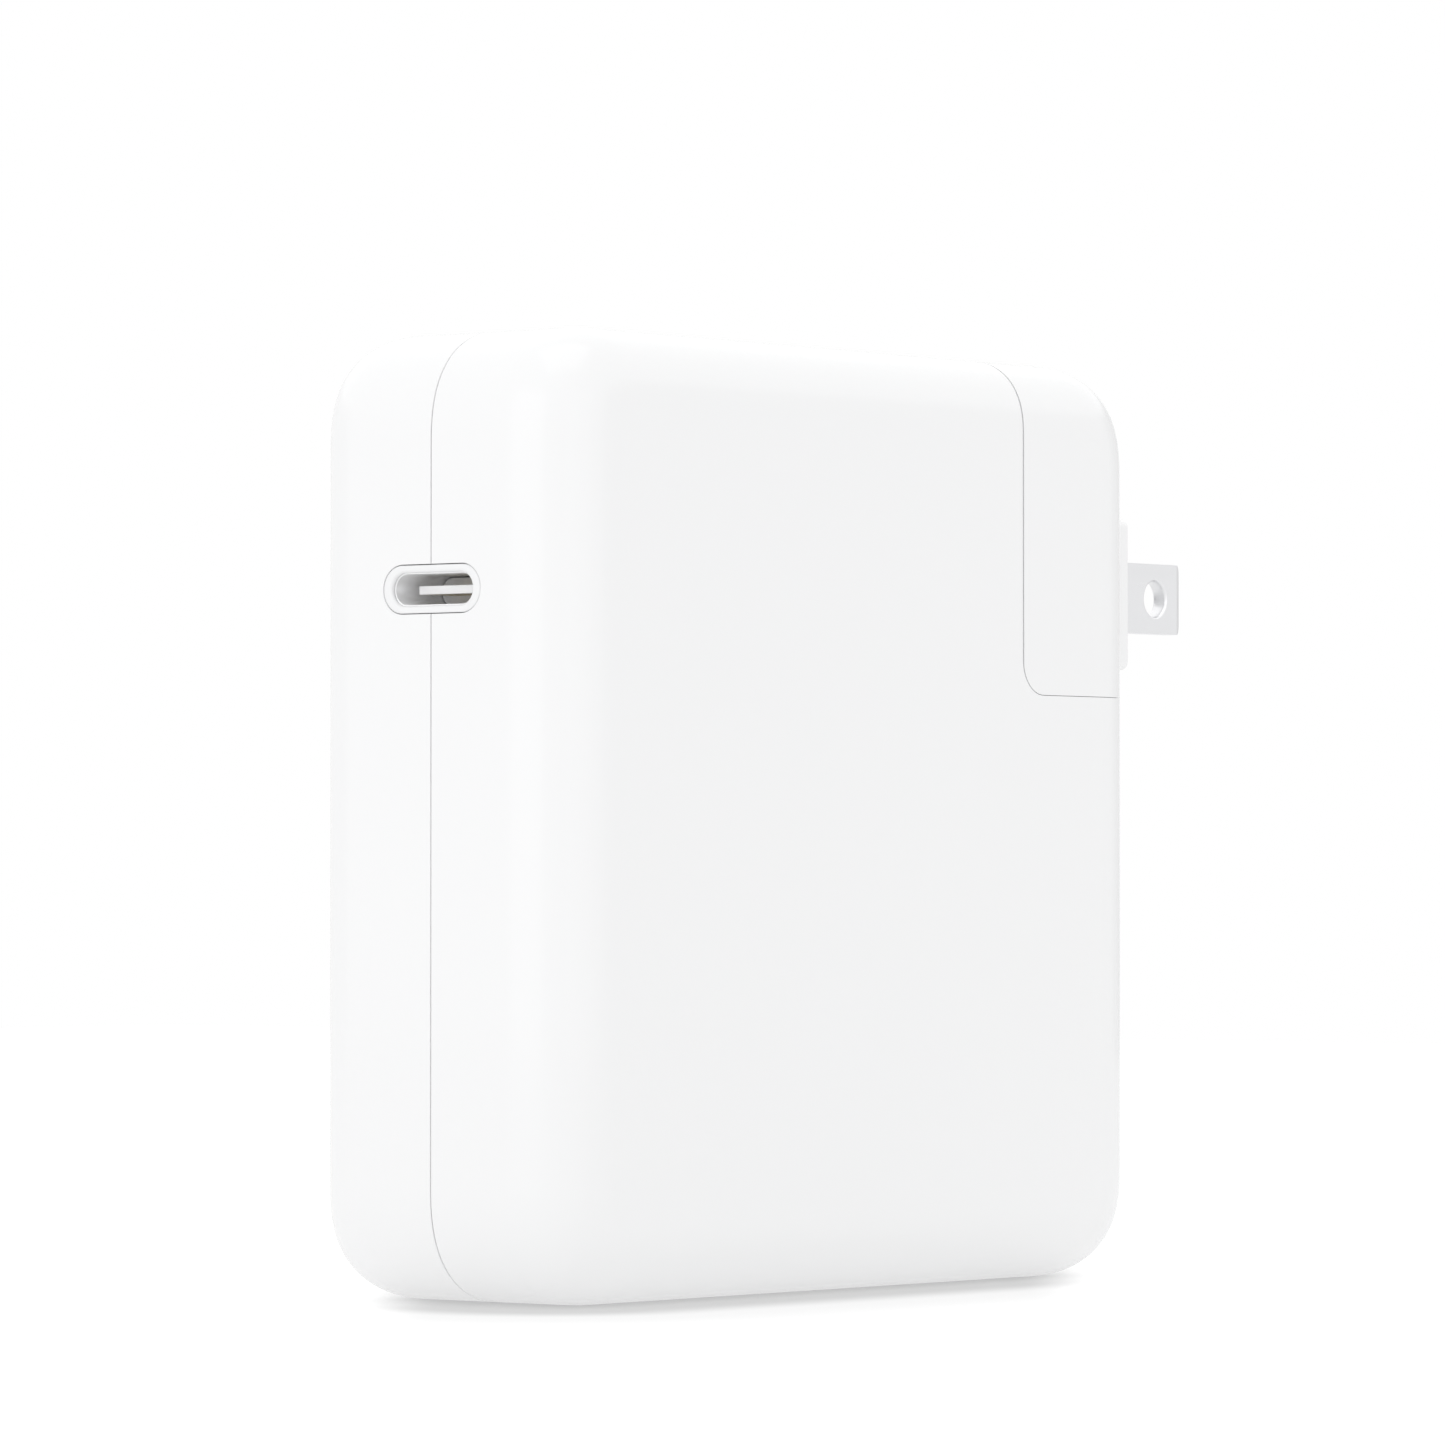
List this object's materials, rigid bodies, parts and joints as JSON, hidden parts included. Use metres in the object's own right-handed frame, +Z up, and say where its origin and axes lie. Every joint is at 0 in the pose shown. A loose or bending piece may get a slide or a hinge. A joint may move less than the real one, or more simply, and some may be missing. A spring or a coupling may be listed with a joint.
{
  "type": "laptop power adapter",
  "caption": "Square white laptop power adapter on its narrow side, with a reversible power port and a slide-off plug module whose blades fold up.",
  "frame": {"origin": "centre of the flat narrow face that the adapter stands on", "axes": "+X towards the blades, +Y away from the front face, +Z up"},
  "size_m": [0.0957, 0.0284, 0.08],
  "materials": {
    "shell_white": "gloss",
    "inner_white": "satin",
    "port_white": "gloss",
    "plated_metal": "nickel-plated",
    "port_steel": "satin",
    "spring_steel": "satin",
    "contact_gold": "plated",
    "winding_copper": "varnished",
    "spreader_metal": "mill",
    "board_green": "matt",
    "case_black": "matt",
    "can_sleeve": "satin",
    "disc_blue": "satin",
    "film_yellow": "satin",
    "ferrite": "matt",
    "thermal_rubber": "matt"
  },
  "bodies": {
    "adapter": {"front_shell": "shell_white", "rear_shell": "shell_white", "heat_spreader_front": "spreader_metal", "heat_spreader_rear": "spreader_metal", "port_bezel": "port_white", "port_shell": "port_steel", "port_tongue": "port_white", "port_contacts_upper": "contact_gold", "port_contacts_lower": "contact_gold", "port_board": "board_green", "inlet_block": "inner_white", "inlet_pin_near": "plated_metal", "inlet_pin_far": "plated_metal", "guide_post": "plated_metal", "ground_ring": "spring_steel", "main_board": "board_green", "bulk_capacitor_1": "can_sleeve", "bulk_capacitor_2": "can_sleeve", "output_capacitor_1": "can_sleeve", "output_capacitor_2": "can_sleeve", "output_capacitor_3": "can_sleeve", "y_capacitor": "disc_blue", "bridge_rectifier": "case_black", "input_choke_core": "ferrite", "input_choke_winding_1": "winding_copper", "input_choke_winding_2": "winding_copper", "film_capacitor": "film_yellow", "fuse": "case_black", "output_choke": "ferrite", "transformer_core_front": "ferrite", "transformer_core_rear": "ferrite", "transformer_bobbin": "case_black", "transformer_winding": "winding_copper", "output_switch": "case_black", "primary_switch": "case_black", "thermal_pad": "thermal_rubber"},
    "plug_module": {"plug_housing": "shell_white", "plug_cover": "inner_white", "detent_spring": "spring_steel", "plug_contact_near": "winding_copper", "plug_contact_far": "winding_copper"},
    "prongs": {"prong_near": "plated_metal", "prong_far": "plated_metal", "prong_bridge": "inner_white", "prong_axle": "spring_steel"}
  },
  "joints": [
    {"name": "plug_slide", "type": "slide", "parent": "adapter", "child": "plug_module", "axis": [0, 0, 1], "range_m": [0, 0.042]},
    {"name": "prong_fold", "type": "hinge", "parent": "plug_module", "child": "prongs", "pos_m": [0.0372, 0, 0.058], "axis": [0, -1, 0], "range_deg": [0, 90]}
  ]
}
